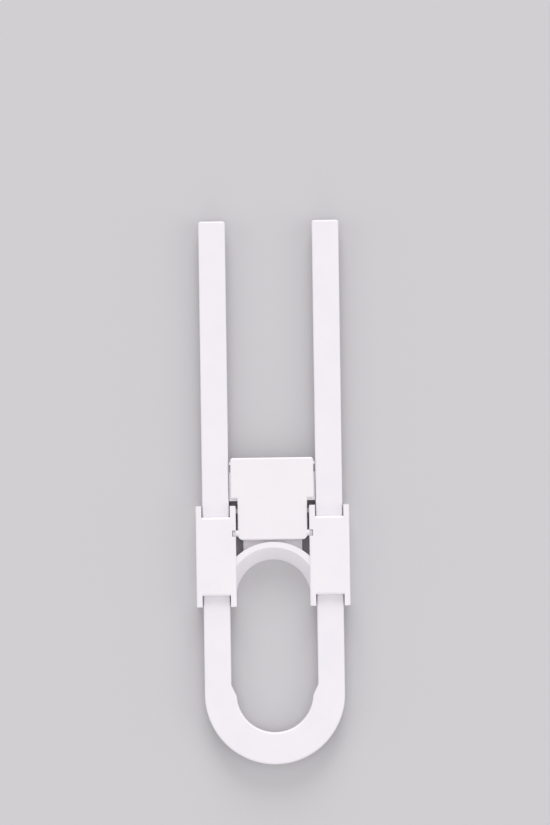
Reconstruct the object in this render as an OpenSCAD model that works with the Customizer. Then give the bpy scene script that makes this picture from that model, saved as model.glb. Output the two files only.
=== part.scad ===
// Sliding safety lock for a pair of cabinet handles. A U-shaped bar goes round both handles and a
// lock body slides along its two legs. A sprung button rocks on two pins in the body and holds
// four comb teeth in the ratchet rack on the back of each leg.
// The lock lies on its back with its front up (+Z) and the free ends of the legs at +Y.

/* [U bar] */
// Width over both legs, and the outer diameter of the bend
bar_w = 67.4; // [60:0.5:80]
// Width of one leg
leg_w = 12.8; // [11:0.1:15]
// Thickness of the bar from front to back
bar_t = 6; // [5:0.25:9]
// Length of a leg from the bend's centre to its free end
leg_len = 227.8; // [170:0.1:300]
// Width of the bar round the bend
bend_w = 15.3; // [14:0.1:18]
// Height above the bend's centre at which a leg's inner face begins
step_rise = 4.5; // [2:0.1:6]
// Length of the taper from the bend's width to the leg's width
step_len = 5.4; // [3:0.1:9]
// Radius of the bar's long edges
bar_edge_r = 0.9; // [0.3:0.05:1.2]
// Radius of the corners at the free ends
tip_r = 1.2; // [0.5:0.1:3]

/* [Ratchet] */
// Distance from one tooth to the next
pitch = 3; // [2.4:0.1:4]
// Height of a tooth
tooth_h = 0.9; // [0.7:0.05:1.2]
// Flat on a tooth's tip and in its root
tooth_flat = 0.3; // [0.2:0.05:0.5]
// Depth of the tooth tips below the back of the bar
rack_recess = 0.2; // [0.1:0.05:0.6]
// Width of the smooth rail on each side of a rack
rail_w = 1.8; // [1.2:0.1:2.6]
// Teeth of the rack between its start and the comb, as set
lead_teeth = 14; // [4:1:14]
// Teeth on each comb
comb_teeth = 4; // [2:1:4]
// Gap between a comb's teeth and the rack's
mesh_gap = 0.12; // [0.05:0.01:0.2]

/* [Lock body] */
// Set place of the body: from the bend's centre to the sleeves' lower ends
body_set = 42.4; // [20:0.1:120]
// Length of a sleeve
sleeve_len = 48.5; // [44:0.5:60]
// Thickness of a sleeve's side walls
side_wall = 2.85; // [2.4:0.05:3.5]
// Gap between a leg and each side wall
side_gap = 0.4; // [0.2:0.05:0.8]
// Thickness of a sleeve's front wall
front_wall = 2.4; // [1.8:0.1:3.2]
// Gap between a leg and the front wall
front_gap = 0.3; // [0.2:0.05:0.6]
// Thickness of the straps behind a leg
strap_t = 3; // [2.6:0.1:4]
// Gap between a leg's rails and the straps
strap_gap = 0.4; // [0.2:0.05:0.8]
// Length of the open window in front of a leg at each end of a sleeve
window_len = 5.4; // [4:0.1:8]
// Radius of a sleeve's long front edges
sleeve_edge_r = 1.2; // [0.8:0.1:2]
// Radius of a sleeve's long back edges
sleeve_back_r = 0.6; // [0.3:0.1:1]
// Radius of a sleeve's corners, seen from the front
sleeve_corner_r = 0.6; // [0.3:0.1:1.2]
// Rounding on the two ends of a front wall
wall_end_r = 1.1; // [0.6:0.1:1.6]

/* [Finger scoop] */
// Depth of the arch's front rim below the front of the sleeves
arch_setback = 1.5; // [1:0.1:3]
// Inner radius of the arch at its front rim, beyond half the space between the sleeves
arch_front_over = 4.55; // [3.5:0.05:8]
// Inner radius of the arch at its back, beyond half the space between the sleeves
arch_back_over = 0.35; // [0.2:0.05:2]
// Top of the scoop at the front rim, above the sleeves' lower ends
arch_front_top = 28.2; // [27:0.1:29]
// Top of the scoop at the back, above the sleeves' lower ends
arch_back_top = 22.2; // [21:0.1:24]
// Wall of the arch towards its feet
arch_wall = 4; // [2.6:0.1:4.4]
// How much thinner the arch is at its top
arch_thinning = 1.8; // [0:0.1:2]
// Width of the finger plate and of the shelf that joins it to the arch
plate_w = 28.3; // [24:0.1:29]
// Thickness of the finger plate
plate_t = 2.4; // [1.8:0.1:3]
// Height of the two flanges along the finger plate
flange_h = 2; // [0.8:0.1:2.2]
// Thickness of the flanges
flange_t = 1.2; // [1:0.1:2]
// Gap between the shelf and the button's front
shelf_gap = 1.6; // [1:0.1:2.4]
// How far the shelf reaches behind the button
shelf_reach = 1.4; // [0.8:0.1:1.6]

/* [Release button] */
// Gap between the button's head and each leg
head_gap = 1; // [0.6:0.05:1.2]
// Gap between the button's stem and each sleeve
stem_gap = 0.95; // [0.8:0.05:1.3]
// Distance from the sleeves' upper ends to the head's shoulders
shoulder_gap = 3.5; // [3.2:0.1:6]
// Height of the button's head
head_h = 19.5; // [17:0.5:24]
// Lower edge of the stem, above the sleeves' lower ends
button_rise = 32; // [31.6:0.1:34]
// Thickness of the button's front
button_t = 2.4; // [1.8:0.1:2.8]
// Height of the button's front above the front of the legs
button_proud = 1; // [0.6:0.1:1.6]
// Rounding along the button's front edges
button_edge_r = 0.8; // [0.4:0.1:1.2]
// Radius of the head's upper corners
head_corner_r = 1.2; // [0.8:0.1:3]
// Radius of the stem's lower corners
stem_corner_r = 2.6; // [1:0.1:3]
// Depth of the skirt behind the button's front
skirt_h = 3; // [2:0.1:3.2]
// Thickness of the skirt and ribs
skirt_t = 1.6; // [1.2:0.1:2]
// Diameter of the pivot pins
pin_d = 3; // [2.4:0.1:3.2]
// Height of the pins above the stem's lower edge
pin_rise = 3.2; // [2.6:0.1:4]
// Radial gap round a pin in its seat
pin_run = 0.05; // [0.02:0.01:0.1]
// Depth of the pin seats in the sleeves' inner walls
seat_depth = 1.7; // [1.2:0.1:2]
// Thickness of the cheeks that carry the arms
cheek_t = 2.8; // [1.6:0.1:3.2]
// Gap between a cheek and a leg
cheek_gap = 0.3; // [0.2:0.05:0.5]
// Thickness of the ledge that joins a cheek to the button's front
ledge_t = 1.6; // [1:0.1:2.4]
// Thickness of the arms behind the legs
arm_t = 1.6; // [1.2:0.1:1.7]
// Gap between an arm and a leg's rails
arm_gap = 0.2; // [0.1:0.05:0.4]
// Distance of the arms below the head's shoulders
arm_drop = 1.2; // [1:0.1:2]

/* [Return spring] */
// Outer diameter of the spring
spring_d = 6; // [5:0.1:8]
// Thickness of the wire
wire_d = 0.6; // [0.4:0.05:0.7]
// Number of curls
curls = 4; // [3:1:4]
// Height of the spring's axis above the head's shoulders
spring_rise = 1.6; // [0:0.1:4]

/* [Hidden] */
$fn = 64;
// Overrun of cuts, and bite of a piece into the wall that it grows from
over = 1;
bite = 0.5;

// Bar: the bend's centre, the legs' lines and the space behind them
bend_r = bar_w / 2;
bend_y = (bend_r - leg_len) / 2;
tip_y = bend_y + leg_len;
leg_x = bend_r - leg_w / 2;
leg_in = bend_r - leg_w;
bar_z = strap_t + strap_gap;
bar_top = bar_z + bar_t;
channel_w = leg_w - 2 * rail_w;
tip_z = bar_z + rack_recess;
root_z = tip_z + tooth_h;

// Sleeves
cavity_w = leg_w + 2 * side_gap;
sleeve_w = cavity_w + 2 * side_wall;
sleeve_in = leg_x - sleeve_w / 2;
body_y = bend_y + body_set;
body_y1 = body_y + sleeve_len;
wall_z = bar_top + front_gap;
body_t = wall_z + front_wall;

// Button: levels and heights
button_y = body_y + button_rise;
shoulder_y = body_y1 + shoulder_gap;
head_y1 = shoulder_y + head_h;
head_half = leg_in - head_gap;
stem_half = sleeve_in - stem_gap;
button_top = bar_top + button_proud;
button_z = button_top - button_t;
skirt_z = button_z - skirt_h;
skirt_inset = 0.3;
skirt_out = stem_half - skirt_inset;
skirt_in = skirt_out - skirt_t;
pin_r = pin_d / 2;
pin_y = button_y + pin_rise;
pin_z = button_top - pin_r;
pin_end_gap = 0.2;
pin_reach = seat_depth - pin_end_gap;
skirt_y = button_y + stem_corner_r;
cheek_out = leg_in - cheek_gap;
cheek_in = cheek_out - cheek_t;
nub_gap = 0.3;
nub_w = head_gap - nub_gap;
nub_len = 1.3;
nub_drop = 2;

// Arms and combs
arm_margin = 0.85;
arm_len = comb_teeth * pitch + 2 * arm_margin;
arm_y = shoulder_y - arm_drop;
arm_z1 = bar_z - arm_gap;
arm_z0 = arm_z1 - arm_t;
arm_corner_r = 1;
ledge_bite = 0.1;
comb_y = arm_y + arm_margin;
comb_side_gap = 0.4;
comb_w = channel_w - 2 * comb_side_gap;
rack_y = comb_y - lead_teeth * pitch;
rack_teeth = ceil((tip_y - rack_y) / pitch);

// Stop lugs on the stem, each in a groove that is closed at the front
lug_drop = 3.7;
lug_len = 2.2;
lug_y = body_y1 - lug_drop;
lug_h = 1.6;
lug_rise = 0.6;
lug_z = skirt_z + lug_rise;
lug_play = 0.2;
groove_depth = 0.55;
lug_end_gap = 0.15;
lug_tip = sleeve_in + groove_depth - lug_end_gap;

// Pin seats, open at the front
throat_squeeze = 0.2;
throat_w = pin_d - throat_squeeze;
mouth_flare = 0.5;
mouth_w = pin_d + mouth_flare;
mouth_h = 1.1;

// Radius of an edge that is hidden behind a wall, as a share of the shown edge's radius
hidden_edge_share = 0.25;

// Finger scoop: the right cone through both rims, found from its lines at top and bottom
arch_t = body_t - arch_setback;
arch_front_r = sleeve_in + arch_front_over;
arch_back_r = sleeve_in + arch_back_over;
scoop_back_top = body_y + arch_back_top;
scoop_front_top = body_y + arch_front_top;
slope_top = (scoop_front_top - scoop_back_top) / arch_t;
slope_low = slope_top - 2 * (arch_front_r - arch_back_r) / arch_t;
angle_top = atan(slope_top);
angle_low = atan(slope_low);
cone_half = (angle_top - angle_low) / 2;
cone_tilt = (angle_top + angle_low) / 2;
cone_z = -2 * arch_back_r / (slope_top - slope_low);
cone_y = scoop_back_top + slope_top * cone_z;
cone_len = 2 * (arch_t - cone_z);
arch_low = scoop_back_top - arch_back_r;

// Finger plate with the shelf and the spring's seat
shelf_y1 = button_y + shelf_reach;
shelf_z1 = button_z - shelf_gap;
riser_y = shelf_y1 - plate_t;
spring_y = shoulder_y + spring_rise;
plate_margin = 2;
plate_y1 = spring_y + spring_d / 2 + plate_margin;
seat_clear = 0.2;
boss_d = spring_d - 2 * wire_d - 2 * seat_clear;
boss_h = 1.6;
spigot_h = 1.2;

// Spring wire
rings_per_curl = 8;
wire_sides = 6;
end_gap = 0.05;
spring_r = (spring_d - wire_d) / 2;
spring_z0 = plate_t + wire_d / 2 + end_gap;
spring_z1 = button_z - wire_d / 2 - end_gap;
spring_rise_per_curl = (spring_z1 - spring_z0) / curls;

moulded_white = [0.96, 0.94, 0.96];
spring_steel = [0.62, 0.63, 0.65];

// Outline from x = -w / 2 to w / 2 and from y = 0 to h, with its own radius on the lower and upper corners
module round_box(w, h, r_low, r_high) {
    low = min(r_low, h / 2);
    high = min(r_high, h / 2);
    for (side = [-1, 1]) {
        translate([side * (w / 2 - low), low]) circle(low);
        translate([side * (w / 2 - high), h - high]) circle(high);
    }
    translate([-w / 2, low]) square([w, h - low - high]);
    translate([low - w / 2, 0]) square([w - 2 * low, h / 2]);
    translate([high - w / 2, h / 2]) square([w - 2 * high, h / 2]);
}

// Bar along +Y from y = 0, whose cross-section is the outline in X and Z that is given as children
module along_y(len) {
    translate([0, len, 0]) rotate([90, 0, 0]) linear_extrude(len) children();
}

// Bar along X, centred on x = 0, whose cross-section is the outline in Y and Z that is given as children
module along_x(len) {
    translate([-len / 2, 0, 0]) rotate([90, 0, 90]) linear_extrude(len) children();
}

module both_sides() {
    for (side = [0, 1]) mirror([side, 0, 0]) children();
}

// Cross-section of a leg, centred on its own line
module leg_section() {
    translate([0, bar_z]) round_box(leg_w, bar_t, bar_edge_r, bar_edge_r);
}

module leg() {
    intersection() {
        translate([leg_x, bend_y, 0]) along_y(leg_len) leg_section();
        translate([leg_x, bend_y - over, 0]) linear_extrude(bar_top + over)
            round_box(leg_w, leg_len + over, tip_r, tip_r);
    }
}

// Half ring below the legs, with the same rounded edges
module bend() {
    translate([0, bend_y, 0]) intersection() {
        rotate_extrude() translate([bend_r - bend_w / 2, bar_z])
            round_box(bend_w, bar_t, bar_edge_r, bar_edge_r);
        translate([-bar_w, -bar_w, 0]) cube([2 * bar_w, bar_w, bar_top + over]);
    }
}

// Taper between the bend's inner face and the leg's
module step() {
    step_w = bend_w - leg_w;
    lean = atan(step_w / step_len);
    low_y = bend_y + step_rise - step_len;
    intersection() {
        translate([leg_in - step_w, low_y, 0]) rotate([0, 0, -lean]) translate([leg_w / 2, -step_len, 0])
            along_y(3 * step_len) leg_section();
        translate([leg_in - step_w, bend_y - bite, 0]) cube([step_w + rail_w, step_rise + 2 * bite, bar_top]);
    }
}

// Outline of one leg's rack in Y and Z: all that is open behind the teeth
module rack_gap() {
    polygon(concat(
        [[rack_y, bar_z - over]],
        [for (i = [0 : rack_teeth - 1], p = [
            [rack_y + i * pitch, tip_z],
            [rack_y + i * pitch + tooth_flat, tip_z],
            [rack_y + (i + 1) * pitch - tooth_flat, root_z],
            [rack_y + (i + 1) * pitch, root_z]]) p],
        [[rack_y + rack_teeth * pitch, bar_z - over]]
    ));
}

// The shallow channel that runs on round the bend between the same two rails
module bend_channel() {
    translate([0, bend_y, 0]) intersection() {
        rotate_extrude() translate([leg_x - channel_w / 2, bar_z - over])
            square([channel_w, rack_recess + over]);
        translate([-bar_w, -bar_w, 0]) cube([2 * bar_w, bar_w, bar_top]);
    }
}

module leg_channel() {
    translate([leg_x - channel_w / 2, bend_y - bite, bar_z - over])
        cube([channel_w, rack_y - bend_y + bite + bite, rack_recess + over]);
    translate([leg_x, 0, 0]) along_x(channel_w) rack_gap();
}

module u_bar() {
    color(moulded_white) difference() {
        union() {
            both_sides() {
                leg();
                step();
            }
            bend();
        }
        bend_channel();
        both_sides() leg_channel();
    }
}

// One sleeve: side walls all along, a front wall between the end windows, and straps behind them
module sleeve() {
    wall_len = sleeve_len - 2 * window_len;
    translate([leg_x, body_y, 0]) {
        difference() {
            intersection() {
                along_y(sleeve_len) round_box(sleeve_w, body_t, sleeve_back_r, sleeve_edge_r);
                linear_extrude(body_t + over)
                    round_box(sleeve_w, sleeve_len, sleeve_corner_r, sleeve_corner_r);
            }
            translate([-cavity_w / 2, -over, strap_t]) cube([cavity_w, sleeve_len + 2 * over, body_t]);
            translate([-cavity_w / 2, window_len, -over]) cube([cavity_w, wall_len, body_t]);
        }
        translate([0, sleeve_len / 2, wall_z]) along_x(cavity_w + bite)
            round_box(wall_len, front_wall, hidden_edge_share * wall_end_r, wall_end_r);
    }
}

// The scoop's cone, grown outward by a wall
module scoop_cone(wall) {
    translate([0, cone_y, cone_z]) rotate([-cone_tilt, 0, 0]) translate([0, 0, -wall / sin(cone_half)])
        cylinder(h = cone_len, r1 = 0, r2 = cone_len * tan(cone_half));
}

// Arch between the sleeves, with the shelf above it
module finger_scoop() {
    span = sleeve_in + bite;
    difference() {
        union() {
            intersection() {
                translate([0, -arch_thinning, 0]) scoop_cone(arch_wall);
                translate([-span, arch_low, 0]) cube([2 * span, 2 * arch_front_r, arch_t]);
            }
            translate([-plate_w / 2, arch_low, shelf_z1 - plate_t])
                cube([plate_w, shelf_y1 - arch_low, plate_t]);
            both_sides() translate([plate_w / 2 - flange_t, arch_low, 0])
                cube([flange_t, shelf_y1 - arch_low, shelf_z1]);
        }
        scoop_cone(0);
    }
}

// Riser behind the shelf, and the flanged plate that runs on from its foot to behind the spring
module finger_plate() {
    translate([-plate_w / 2, riser_y, 0]) cube([plate_w, plate_t, shelf_z1]);
    translate([-plate_w / 2, riser_y, 0]) cube([plate_w, plate_y1 - riser_y, plate_t]);
    both_sides() translate([plate_w / 2 - flange_t, riser_y, 0])
        cube([flange_t, plate_y1 - riser_y, plate_t + flange_h]);
    translate([0, spring_y, plate_t - bite]) cylinder(h = boss_h + bite, d = boss_d);
}

// Round seat for a pin, a narrower throat that the pin snaps through, and a wider mouth
module pin_seat() {
    translate([sleeve_in + seat_depth / 2 - over / 2, pin_y, 0]) along_x(seat_depth + over) {
        translate([0, pin_z]) circle(pin_r + pin_run);
        translate([-throat_w / 2, pin_z]) square([throat_w, body_t - pin_z + over]);
        polygon([
            [-throat_w / 2, body_t - mouth_h],
            [throat_w / 2, body_t - mouth_h],
            [mouth_w / 2, body_t + over],
            [-mouth_w / 2, body_t + over]
        ]);
    }
}

// Groove for a stop lug, closed at the front
module lug_groove() {
    translate([sleeve_in - over, lug_y - lug_play, -over])
        cube([groove_depth + over, lug_len + 2 * lug_play, lug_z + lug_h + lug_play + over]);
}

module lock_body() {
    color(moulded_white) difference() {
        union() {
            both_sides() sleeve();
            finger_scoop();
            finger_plate();
        }
        both_sides() {
            pin_seat();
            lug_groove();
        }
    }
}

// Slab of the button's front with rounded front edges and its own corner radii
module front_slab(w, y0, len, r_low, r_high) {
    back_edge_r = hidden_edge_share * button_edge_r;
    translate([0, y0, button_z]) intersection() {
        linear_extrude(button_t) round_box(w, len, r_low, r_high);
        along_y(len) round_box(w, button_t, back_edge_r, button_edge_r);
        translate([0, len / 2, 0]) along_x(w) round_box(len, button_t, back_edge_r, button_edge_r);
    }
}

// Walls behind the stem's edges and ribs across the head
module skirt() {
    both_sides() translate([skirt_in, skirt_y, skirt_z])
        cube([skirt_t, arm_y + arm_len - skirt_y, skirt_h + bite]);
    for (y = [skirt_y, arm_y + arm_len - skirt_t])
        translate([-skirt_in - bite, y, skirt_z])
            cube([2 * (skirt_in + bite), skirt_t, skirt_h + bite]);
}

// Ledge behind the head's edge, cheek down the inside of a leg, and the arm that reaches behind the leg
// with the comb on it
module pawl() {
    arm_end = leg_x + comb_w / 2;
    ledge_in = stem_half - bite;
    translate([ledge_in, arm_y, button_z - ledge_t])
        cube([cheek_out - ledge_in, arm_len, ledge_t + ledge_bite]);
    translate([cheek_in, arm_y, arm_z0]) cube([cheek_t, arm_len, button_z - arm_z0]);
    translate([(cheek_in + arm_end) / 2, arm_y, arm_z0]) linear_extrude(arm_t)
        round_box(arm_end - cheek_in, arm_len, arm_corner_r, arm_corner_r);
    translate([leg_x, 0, 0]) along_x(comb_w) comb();
}

// Outline of a comb in Y and Z: the rack's teeth, less the mesh gap
module comb() {
    polygon(concat(
        [[comb_y, arm_z1 - bite]],
        [for (i = [0 : comb_teeth - 1], p = [
            [comb_y + i * pitch, tip_z - mesh_gap],
            [comb_y + i * pitch + tooth_flat, tip_z - mesh_gap],
            [comb_y + (i + 1) * pitch - tooth_flat - mesh_gap, root_z - mesh_gap],
            [comb_y + (i + 1) * pitch - mesh_gap, root_z - mesh_gap],
            [comb_y + (i + 1) * pitch - mesh_gap, tip_z - mesh_gap]]) p],
        [[comb_y + comb_teeth * pitch - mesh_gap, arm_z1 - bite]]
    ));
}

// What stands out from the button's sides: guide nub, pivot pin and stop lug
module side_details() {
    translate([head_half - bite, head_y1 - nub_drop - nub_len, button_z])
        cube([nub_w + bite, nub_len, button_t - button_edge_r]);
    translate([skirt_in, pin_y, pin_z]) rotate([0, 90, 0])
        cylinder(h = sleeve_in + pin_reach - skirt_in, r = pin_r);
    translate([skirt_in, lug_y, lug_z]) cube([lug_tip - skirt_in, lug_len, lug_h]);
}

module release_button() {
    color(moulded_white) {
        front_slab(2 * head_half, shoulder_y, head_h, button_edge_r, head_corner_r);
        front_slab(2 * stem_half, button_y, shoulder_y - button_y + head_h / 2, stem_corner_r, button_edge_r);
        skirt();
        translate([0, spring_y, button_z - spigot_h]) cylinder(h = spigot_h + bite, d = boss_d);
        both_sides() {
            pawl();
            side_details();
        }
    }
}

// Middle of the wire at ring i
function wire_middle(i) =
    let (turn = i / rings_per_curl, a = 360 * turn)
    [spring_r * cos(a), spring_y + spring_r * sin(a), spring_z0 + spring_rise_per_curl * turn];

// Points of ring i, square to the wire
function wire_ring(i) =
    let (
        a = 360 * i / rings_per_curl,
        climb = atan(spring_rise_per_curl / (2 * PI * spring_r)),
        ahead = [-sin(a) * cos(climb), cos(a) * cos(climb), sin(climb)],
        out = [cos(a), sin(a), 0],
        up = cross(out, ahead)
    )
    [for (k = [0 : wire_sides - 1])
        wire_middle(i) + wire_d / 2 * (cos(360 * k / wire_sides) * out + sin(360 * k / wire_sides) * up)];

module return_spring() {
    rings = curls * rings_per_curl;
    points = [for (i = [0 : rings], p = wire_ring(i)) p];
    sides = [for (i = [0 : rings - 1], k = [0 : wire_sides - 1])
        let (a = i * wire_sides + k, b = i * wire_sides + (k + 1) % wire_sides)
        [a, b, b + wire_sides, a + wire_sides]];
    ends = [
        [for (k = [wire_sides - 1 : -1 : 0]) k],
        [for (k = [0 : wire_sides - 1]) rings * wire_sides + k]
    ];
    gaps = [for (i = [0 : rings], j = [i + rings_per_curl / 2 : 1 : rings])
        norm(wire_middle(i) - wire_middle(j)) - wire_d];
    echo(least_gap_in_the_spring = min(gaps));
    color(spring_steel) polyhedron(points, concat(sides, ends));
}

u_bar();
lock_body();
release_button();
return_spring();
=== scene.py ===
# A white sliding safety lock for cabinet handles, lying on its back on a pale studio floor.
# Lengths are in metres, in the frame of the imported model: +Z out of the lock's front, +Y to the free ends.
import math

import bmesh
import bpy
import numpy as np
from mathutils import Matrix, Vector


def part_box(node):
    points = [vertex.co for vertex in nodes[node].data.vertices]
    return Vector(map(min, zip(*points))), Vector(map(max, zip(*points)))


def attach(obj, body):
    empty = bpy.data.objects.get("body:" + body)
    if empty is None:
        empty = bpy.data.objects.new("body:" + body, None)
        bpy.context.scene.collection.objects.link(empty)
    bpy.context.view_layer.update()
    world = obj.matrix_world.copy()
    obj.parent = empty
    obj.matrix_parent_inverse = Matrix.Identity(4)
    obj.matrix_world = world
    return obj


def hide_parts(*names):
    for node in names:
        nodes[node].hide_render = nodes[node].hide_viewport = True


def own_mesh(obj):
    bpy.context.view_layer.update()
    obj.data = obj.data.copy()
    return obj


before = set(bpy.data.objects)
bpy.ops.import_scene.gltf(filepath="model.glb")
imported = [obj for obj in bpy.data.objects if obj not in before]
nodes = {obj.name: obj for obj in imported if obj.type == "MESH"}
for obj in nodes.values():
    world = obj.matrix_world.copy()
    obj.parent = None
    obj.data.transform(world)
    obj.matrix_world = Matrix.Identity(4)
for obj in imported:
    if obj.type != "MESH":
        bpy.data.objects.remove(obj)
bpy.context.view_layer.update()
mm = 0.001
# Heights above the bend's centre between which the bar's inner side tapers
taper_low, taper_high = -0.9 * mm, 4.5 * mm
# Depth, from the back of the bar, of the bend's channel and of the tips of the rack's teeth
recess = 0.2 * mm


def linear(hex_colour):
    """An sRGB hex colour as linear red, green, blue and alpha."""
    channels = [int(hex_colour[i:i + 2], 16) / 255 for i in (1, 3, 5)]
    return [c / 12.92 if c <= 0.04045 else ((c + 0.055) / 1.055) ** 2.4 for c in channels] + [1.0]


def add(tree, kind, inputs=None, **settings):
    """Adds a node with its settings. An input given as a socket is linked, and any other is a value."""
    node = tree.nodes.new(kind)
    for name, value in settings.items():
        setattr(node, name, value)
    for name, value in (inputs or {}).items():
        if isinstance(value, bpy.types.NodeSocket):
            tree.links.new(value, node.inputs[name])
        else:
            node.inputs[name].default_value = value
    return node


def new_material(name):
    """An empty material: its node tree and its output node."""
    material = bpy.data.materials.new(name)
    material.use_nodes = True
    tree = material.node_tree
    tree.nodes.clear()
    return material, tree, tree.nodes.new("ShaderNodeOutputMaterial")


def ramp(tree, socket, stops):
    """A colour ramp through (place, linear colour) stops."""
    node = add(tree, "ShaderNodeValToRGB", {"Fac": socket})
    elements = node.color_ramp.elements
    while len(elements) < len(stops):
        elements.new(0.5)
    for element, (place, colour) in zip(elements, stops):
        element.position = place
        element.color = colour
    return node.outputs["Color"]


def moulded_abs(name, main, cool, roughness, flow):
    """White ABS as it leaves a spark-eroded steel mould: satin, with a fine even grain, a faint cloudiness in
    its colour, long flow marks in its sheen, and a little light that seeps under the surface. The real grain is
    too fine to show at this size, and is drawn several times coarser. flow is the scale of the flow marks along
    X, Y and Z, and is small along the way the plastic ran."""
    grain_mm, cloud_mm, flow_mm = 0.55, 14.0, 5.0
    glossier, duller = 0.04, 0.05
    material, tree, output = new_material(name)
    place = add(tree, "ShaderNodeTexCoord").outputs["Object"]
    clouds = add(tree, "ShaderNodeTexNoise", {"Vector": place, "Scale": 1000 / cloud_mm, "Detail": 2.0})
    colour = ramp(tree, clouds.outputs["Fac"], [(0.3, linear(main)), (0.7, linear(cool))])
    along = add(tree, "ShaderNodeMapping", {"Vector": place, "Scale": flow})
    marks = add(tree, "ShaderNodeTexNoise", {
        "Vector": along.outputs["Vector"], "Scale": 1000 / flow_mm, "Detail": 3.0})
    sheen = add(tree, "ShaderNodeMapRange", {
        "Value": marks.outputs["Fac"], "From Min": 0.3, "From Max": 0.7,
        "To Min": roughness - glossier, "To Max": roughness + duller})
    grain = add(tree, "ShaderNodeTexNoise", {
        "Vector": place, "Scale": 1000 / grain_mm, "Detail": 2.0, "Roughness": 0.6})
    soft_edges = add(tree, "ShaderNodeBevel", {"Radius": 0.3 * mm}, samples=4)
    bump = add(tree, "ShaderNodeBump", {
        "Height": grain.outputs["Fac"], "Strength": 0.12, "Distance": 0.02 * mm,
        "Normal": soft_edges.outputs["Normal"]})
    shader = add(tree, "ShaderNodeBsdfPrincipled", {
        "Base Color": colour, "Roughness": sheen.outputs["Result"], "Normal": bump.outputs["Normal"],
        "IOR": 1.53, "Subsurface Weight": 0.08, "Subsurface Radius": (1.0, 0.8, 0.7),
        "Subsurface Scale": 0.6 * mm})
    tree.links.new(shader.outputs["BSDF"], output.inputs["Surface"])
    return material


def spring_wire(name):
    """Cold-drawn steel spring wire with a thin bright zinc coat: a metal with a fine, uneven crystal mottle in
    its colour and its sheen, drawn coarser than the real one so that it shows."""
    mottle_mm = 0.08
    material, tree, output = new_material(name)
    place = add(tree, "ShaderNodeTexCoord").outputs["Object"]
    mottle = add(tree, "ShaderNodeTexNoise", {"Vector": place, "Scale": 1000 / mottle_mm, "Detail": 3.0})
    colour = ramp(tree, mottle.outputs["Fac"], [(0.25, linear("#A9ABB0")), (0.75, linear("#D2D3D6"))])
    sheen = add(tree, "ShaderNodeMapRange", {
        "Value": mottle.outputs["Fac"], "To Min": 0.22, "To Max": 0.42})
    bump = add(tree, "ShaderNodeBump", {
        "Height": mottle.outputs["Fac"], "Strength": 0.1, "Distance": 0.01 * mm})
    shader = add(tree, "ShaderNodeBsdfPrincipled", {
        "Base Color": colour, "Metallic": 1.0, "Roughness": sheen.outputs["Result"],
        "Normal": bump.outputs["Normal"]})
    tree.links.new(shader.outputs["BSDF"], output.inputs["Surface"])
    return material


def studio_floor(name, colour):
    """Matte emulsion paint: one even pale tone, with hardly any sheen."""
    material, tree, output = new_material(name)
    shader = add(tree, "ShaderNodeBsdfPrincipled", {
        "Base Color": linear(colour), "Roughness": 0.85, "IOR": 1.4})
    tree.links.new(shader.outputs["BSDF"], output.inputs["Surface"])
    return material


def new_mesh(name, points, faces, smooth, material):
    """A mesh object at the origin from an array of points and a list of faces, each smooth or flat."""
    mesh = bpy.data.meshes.new(name)
    mesh.from_pydata(points.tolist(), [], faces)
    mesh.polygons.foreach_set("use_smooth", smooth)
    mesh.materials.append(material)
    piece = bpy.data.objects.new(name, mesh)
    bpy.context.scene.collection.objects.link(piece)
    return piece


def ring_faces(rings, sides):
    """Faces over a row of rings of points, as lists: the quads of the wall, and then the two ends."""
    i, k = np.meshgrid(np.arange(rings - 1), np.arange(sides), indexing="ij")
    k1 = (k + 1) % sides
    quads = np.stack([i * sides + k, i * sides + k1, (i + 1) * sides + k1, (i + 1) * sides + k], -1)
    around = np.arange(sides)
    ends = [around[::-1].tolist(), ((rings - 1) * sides + around).tolist()]
    return quads.reshape(-1, 4).tolist() + ends


def finish_moulding(piece):
    """Merges the points that coincide, turns all faces outward, and makes the edges sharp between faces that
    stand at more than sharp_angle. Weighted normals then keep the large faces flat to the eye."""
    same_place, sharp_angle = 0.001 * mm, math.radians(17)
    work = bmesh.new()
    work.from_mesh(piece.data)
    bmesh.ops.remove_doubles(work, verts=work.verts, dist=same_place)
    bmesh.ops.recalc_face_normals(work, faces=work.faces)
    work.to_mesh(piece.data)
    work.free()
    piece.data.set_sharp_from_angle(angle=sharp_angle)
    piece.modifiers.new("flat_faces", "WEIGHTED_NORMAL").keep_sharp = True


def tube(path, radius, sides):
    """A round tube along a path, closed at both ends. Ring i stands square to the path: at angle b its points
    are path[i] + radius * (cos b * across + sin b * up), with across level and up square to both. Returns the
    points, the faces and whether each face is smooth: the wall's are, and the two flat ends aren't."""
    ahead = np.gradient(path, axis=0)
    ahead /= np.linalg.norm(ahead, axis=1, keepdims=True)
    across = np.cross([0.0, 0.0, 1.0], ahead)
    across /= np.linalg.norm(across, axis=1, keepdims=True)
    up = np.cross(ahead, across)
    b = np.linspace(0, 2 * np.pi, sides, endpoint=False)[None, :, None]
    points = path[:, None, :] + radius * (np.cos(b) * across[:, None, :] + np.sin(b) * up[:, None, :])
    faces = ring_faces(len(path), sides)
    ends = 2
    return points.reshape(-1, 3), faces, np.arange(len(faces)) < len(faces) - ends


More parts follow.
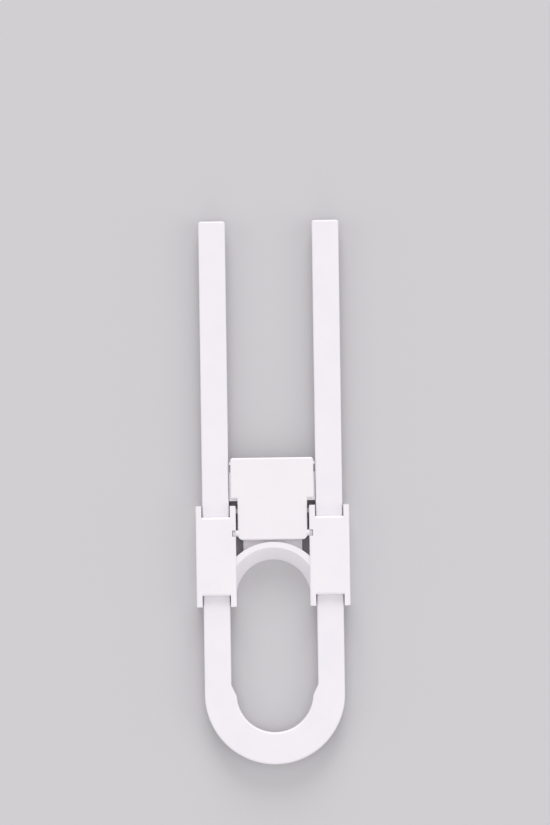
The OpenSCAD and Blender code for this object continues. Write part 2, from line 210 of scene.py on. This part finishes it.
def return_spring(material):
    """The compression spring between the finger plate and the button, with closed coils at both ends.
    After t turns the wire's middle is at (r cos 2 pi t, r sin 2 pi t, z) from the middle of its foot, and
    z = wire / 2 + wire * t + spare * s. Coils that touch climb by one wire a turn. The spare height goes to
    the open turns between, and s is the share of them wound so far: the running sum of a smooth step up and
    down, 3 e^2 - 2 e^3, with e rising from 0 to 1 over half a turn past the closed ones."""
    turns, closed_turns, fade_turns = 5.0, 0.75, 0.5
    steps_per_turn, sides = 48, 16
    wire = 0.6 * mm
    low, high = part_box("return_spring")
    middle = (low + high) / 2
    r = (high.x - low.x - wire) / 2
    t = np.linspace(0, turns, int(turns * steps_per_turn) + 1)
    e = np.clip((np.minimum(t, turns - t) - closed_turns) / fade_turns, 0, 1)
    open_sum = np.cumsum(e ** 2 * (3 - 2 * e))
    spare = high.z - low.z - wire * (turns + 1)
    z = low.z + wire / 2 + wire * t + spare * open_sum / open_sum[-1]
    path = np.stack([middle.x + r * np.cos(2 * np.pi * t), middle.y + r * np.sin(2 * np.pi * t), z], -1)
    return new_mesh("return_spring_coil", *tube(path, wire / 2, sides), material)


def rounded_edge(centre_u, centre_z, radius, start):
    """A quarter circle of the section at each station: at angle a, from start on, u is
    centre_u + radius * cos a and z is centre_z + radius * sin a. Returns both as stations by points."""
    edge_points = 9
    a = start + np.linspace(0, np.pi / 2, edge_points)
    return centre_u[:, None] + radius[:, None] * np.cos(a), centre_z[:, None] + radius[:, None] * np.sin(a)


def leg_stations(centre_y, tip_y, tip_r):
    """Stations of a leg from the bend up: each one's y, and the depth there of the channel in the leg's back.
    The rack is a saw. On each pitch the depth is recess over a flat, grows in a straight line to recess +
    tooth_h, keeps it over a flat and steps back. The last stations go round a quarter circle at the tip."""
    pitch, tooth_h, tooth_flat, rack_start = 3 * mm, 0.9 * mm, 0.3 * mm, -45 * mm
    tip_stations = 13
    tooth = pitch * np.arange(np.ceil((tip_y - rack_start) / pitch))[:, None]
    rack_y = (rack_start + tooth + [0, tooth_flat, pitch - tooth_flat, pitch]).ravel()
    rack_depth = np.tile([recess, recess, recess + tooth_h, recess + tooth_h], len(tooth))
    round_y = tip_y - tip_r + tip_r * np.sin(np.linspace(0, np.pi / 2, tip_stations))
    straight = rack_y < round_y[0]
    y = np.concatenate([[centre_y, centre_y + taper_high], rack_y[straight], round_y])
    depth = np.concatenate([[recess, recess], rack_depth[straight], np.interp(round_y, rack_y, rack_depth)])
    return y, depth


def swept_bar(material):
    """The U-shaped bar as one sweep: down the right leg, round the bend and up the left leg.
    The path is the middle line of the legs, and runs on round the bend at the same distance from its centre.
    A point of the section, u outward from the path and z high, is at path + u * outward. The section is a
    rectangle with four rounded edges and a channel in its back. Its inner half width is that of a leg plus
    step * clip((taper_high - h) / (taper_high - taper_low), 0, 1), with h the height of the inner wall above
    the bend's centre. Over the last r of a leg the sides and the front draw in by r - sqrt(r^2 - d^2) at d
    past the start, with r = tip_r for the sides and tip_edge_r for the front."""
    leg_w, step, channel_w = 12.8 * mm, 2.5 * mm, 9.2 * mm
    edge_r, tip_r, tip_edge_r, least_land = 0.9 * mm, 1.2 * mm, 0.8 * mm, 0.15 * mm
    bend_stations = 97
    low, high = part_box("u_bar")
    centre_y, line_r = low.y + high.x, high.x - leg_w / 2
    inner_r = line_r - leg_w / 2 - step
    leg_y, leg_depth = leg_stations(centre_y, high.y, tip_r)
    kink = math.asin(-taper_low / inner_r)
    turn = np.sort(np.append(np.linspace(0, np.pi, bend_stations), [kink, np.pi - kink]))
    ones, zeros = np.ones_like(leg_y), np.zeros_like(leg_y)
    out_x = np.concatenate([ones, np.cos(turn), -ones])
    out_y = np.concatenate([zeros, -np.sin(turn), zeros])
    x = line_r * out_x
    y = np.concatenate([leg_y[::-1], centre_y - line_r * np.sin(turn), leg_y])
    h = np.concatenate([leg_y[::-1] - centre_y, -inner_r * np.sin(turn), leg_y - centre_y])
    depth = np.concatenate([leg_depth[::-1], np.full_like(turn, recess), leg_depth])

    def drawn_in(radius):
        beyond = np.clip(y - (high.y - radius), 0, radius)
        return radius - np.sqrt(radius ** 2 - beyond ** 2)

    outer = leg_w / 2 - drawn_in(tip_r)
    inner = outer + step * np.clip((taper_high - h) / (taper_high - taper_low), 0, 1)
    r = np.minimum(edge_r, outer - channel_w / 2 - least_land)
    front, back = high.z - drawn_in(tip_edge_r), np.full_like(y, low.z)
    side = np.full_like(y, channel_w / 2)
    section = [
        rounded_edge(outer - r, back + r, r, -np.pi / 2),
        rounded_edge(outer - r, front - r, r, 0),
        rounded_edge(r - inner, front - r, r, np.pi / 2),
        rounded_edge(r - inner, back + r, r, np.pi),
        (np.stack([-side, -side, -side, side, side, side], 1),
         np.stack([back, back + recess, back + depth, back + depth, back + recess, back], 1))]
    u, z = (np.concatenate(parts, 1) for parts in zip(*section))
    points = np.stack([x[:, None] + u * out_x[:, None], y[:, None] + u * out_y[:, None], z], -1)
    faces = ring_faces(*u.shape)
    smooth = np.ones(len(faces), bool)
    bar = new_mesh("u_bar_moulding", points.reshape(-1, 3), faces, smooth, material)
    finish_moulding(bar)
    return bar


leg_flow = (1.0, 0.08, 1.0)
body_flow = (0.5, 0.5, 1.0)
finishes = {
    "u_bar": moulded_abs("moulded_white_abs_bar", "#F5F0F5", "#F1EDF4", 0.36, leg_flow),
    "lock_body": moulded_abs("moulded_white_abs_body", "#F6F1F5", "#F3EEF5", 0.34, body_flow),
    "release_button": moulded_abs("moulded_white_abs_button", "#F5F0F4", "#F3EFF3", 0.38, body_flow),
    "return_spring": spring_wire("zinc_plated_spring_wire"),
}
for name, finish in finishes.items():
    mesh = nodes[name].data
    mesh.materials.clear()
    mesh.materials.append(finish)

bar = swept_bar(finishes["u_bar"])
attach(bar, "bar")
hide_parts("u_bar")

coil = return_spring(finishes["return_spring"])
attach(coil, "slider")
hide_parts("return_spring")
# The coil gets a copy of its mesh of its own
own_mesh(coil)

# The floor is large enough to be seen behind the lock in low views too
half_floor = 40.0
floor_mesh = bpy.data.meshes.new("studio_floor")
floor_mesh.from_pydata([(x, y, 0) for x, y in ((-1, -1), (1, -1), (1, 1), (-1, 1))], [], [(0, 1, 2, 3)])
floor_mesh.transform(Matrix.Scale(half_floor, 4))
floor_mesh.materials.append(studio_floor("pale_matte_studio_floor", "#CFCDD0"))
floor = bpy.data.objects.new("studio_floor", floor_mesh)
bpy.context.scene.collection.objects.link(floor)


def soft_light(name, toward, angle, strength):
    """A wide, distant soft light that shines from a direction, with the spread of its source in degrees."""
    data = bpy.data.lights.new(name, "SUN")
    data.angle = math.radians(angle)
    data.energy = strength
    lamp = bpy.data.objects.new(name, data)
    lamp.rotation_mode = "QUATERNION"
    lamp.rotation_quaternion = (-Vector(toward)).to_track_quat("-Z", "Y")
    bpy.context.scene.collection.objects.link(lamp)


soft_light("key_above", (0.0, 1.0, 0.42), 35, 1.55)
soft_light("fill_right", (1.0, -0.1, 0.55), 45, 0.48)
soft_light("fill_left", (-1.0, -0.1, 0.55), 45, 0.36)
soft_light("fill_below", (0.0, -1.0, 0.55), 45, 0.34)

# Even white light from all round. The camera, mirrors and glass see it as pale as the far floor looks.
world_level, backdrop_colour = 0.64, "#D4D3D5"
world = bpy.data.worlds.new("studio")
world.use_nodes = True
tree = world.node_tree
rays = add(tree, "ShaderNodeLightPath").outputs
seen = rays["Is Camera Ray"]
for kind in ("Is Glossy Ray", "Is Transmission Ray"):
    seen = add(tree, "ShaderNodeMath", {0: seen, 1: rays[kind]}, operation="MAXIMUM").outputs["Value"]
backdrop = add(tree, "ShaderNodeMix", {
    "Factor": seen, "A": [world_level] * 3 + [1.0], "B": linear(backdrop_colour)}, data_type="RGBA")
tree.links.new(backdrop.outputs["Result"], tree.nodes["Background"].inputs["Color"])
bpy.context.scene.world = world

# The camera looks straight down at the front, in the photograph's frame of 550 x 825 pixels
frame_px = (550, 825)
mm_per_px = 0.4808
bend_centre_px = (275.0, 694.4)
lean = math.radians(0.83)
camera_height = 2.5
bar_low, bar_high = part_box("u_bar")
bend_centre = Vector((0, bar_low.y + (bar_high.x - bar_low.x) / 2, bar_high.z))
right = Vector((math.cos(lean), -math.sin(lean), 0))
up = Vector((math.sin(lean), math.cos(lean), 0))
aim = bend_centre + mm * mm_per_px * (
    (frame_px[0] / 2 - bend_centre_px[0]) * right + (bend_centre_px[1] - frame_px[1] / 2) * up)
camera_data = bpy.data.cameras.new("photo_view")
camera_data.lens = camera_data.sensor_width * camera_height / (frame_px[1] * mm_per_px * mm)
camera = bpy.data.objects.new("photo_view", camera_data)
camera.location = aim + Vector((0, 0, camera_height))
camera.rotation_euler = (0, 0, -lean)
bpy.context.scene.collection.objects.link(camera)
bpy.context.scene.camera = camera

bpy.context.scene.view_settings.view_transform = "Standard"
